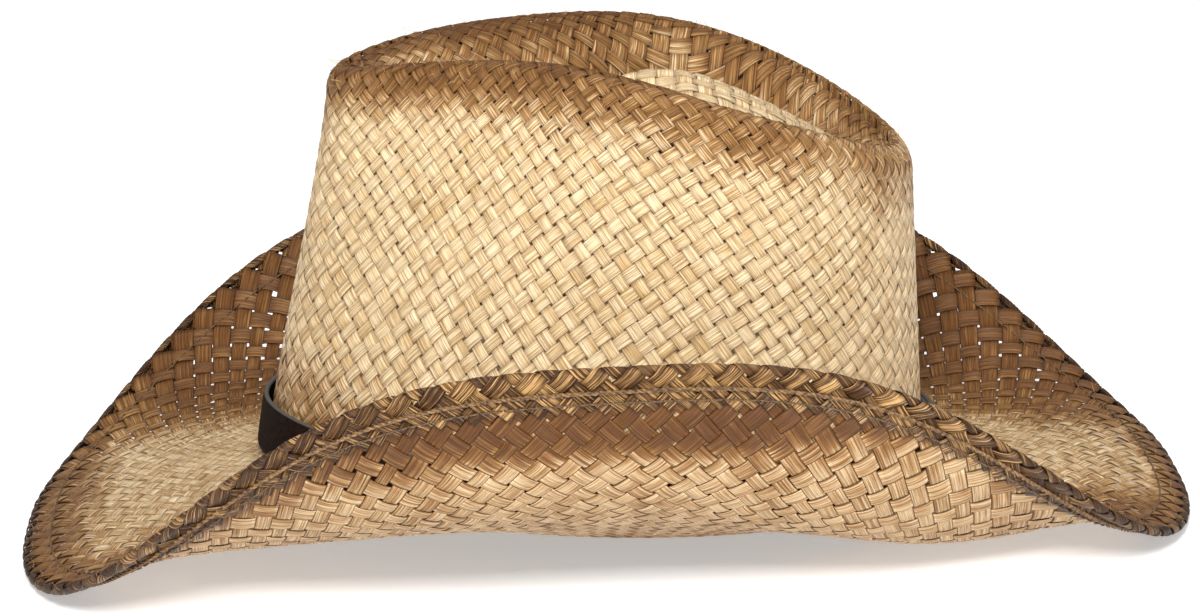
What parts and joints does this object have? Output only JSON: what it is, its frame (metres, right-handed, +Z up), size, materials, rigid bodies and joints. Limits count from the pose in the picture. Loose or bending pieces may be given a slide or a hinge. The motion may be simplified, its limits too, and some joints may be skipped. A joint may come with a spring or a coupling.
{
  "type": "cowboy hat",
  "caption": "Woven straw cowboy hat with a creased crown, a wired brim rolled up at the sides and a loose leather hatband.",
  "frame": {"origin": "on the ground under the middle of the brim's outline, with the hat standing on the front and back dips of its brim", "axes": "-X to the front of the hat, -Y to the wearer's left, +Z up through the crown"},
  "size_m": [0.3694, 0.2943, 0.1543],
  "materials": {
    "woven_straw": "plain-woven natural straw with a brown stain",
    "brown_straw": "brown-stained straw, slightly glossy",
    "straw_cord": "twisted straw cord",
    "thread": "dark brown sewing thread",
    "sweatband_cloth": "ribbed cotton tape",
    "band_leather": "dark brown leather with a dyed edge",
    "rivet_brass": "antiqued brass",
    "spring_steel": "drawn wire",
    "sleeve_metal": "crimped tube"
  },
  "bodies": {
    "hat": {"crown_shell": "woven_straw", "brim_shell": "woven_straw", "brim_hem": "brown_straw", "brim_wire": "spring_steel", "wire_splice": "sleeve_metal", "hem_cord": "straw_cord", "hem_stitching": "thread", "sweatband": "sweatband_cloth", "sweatband_tab": "sweatband_cloth", "sweatband_stitching": "thread"},
    "hatband": {"hatband_strap": "band_leather", "hatband_rivets": "rivet_brass"}
  },
  "joints": [
    {"name": "hatband_lift", "type": "slide", "parent": "hat", "child": "hatband", "axis": [0, 0, 1], "range_m": [0, 0.15]}
  ]
}
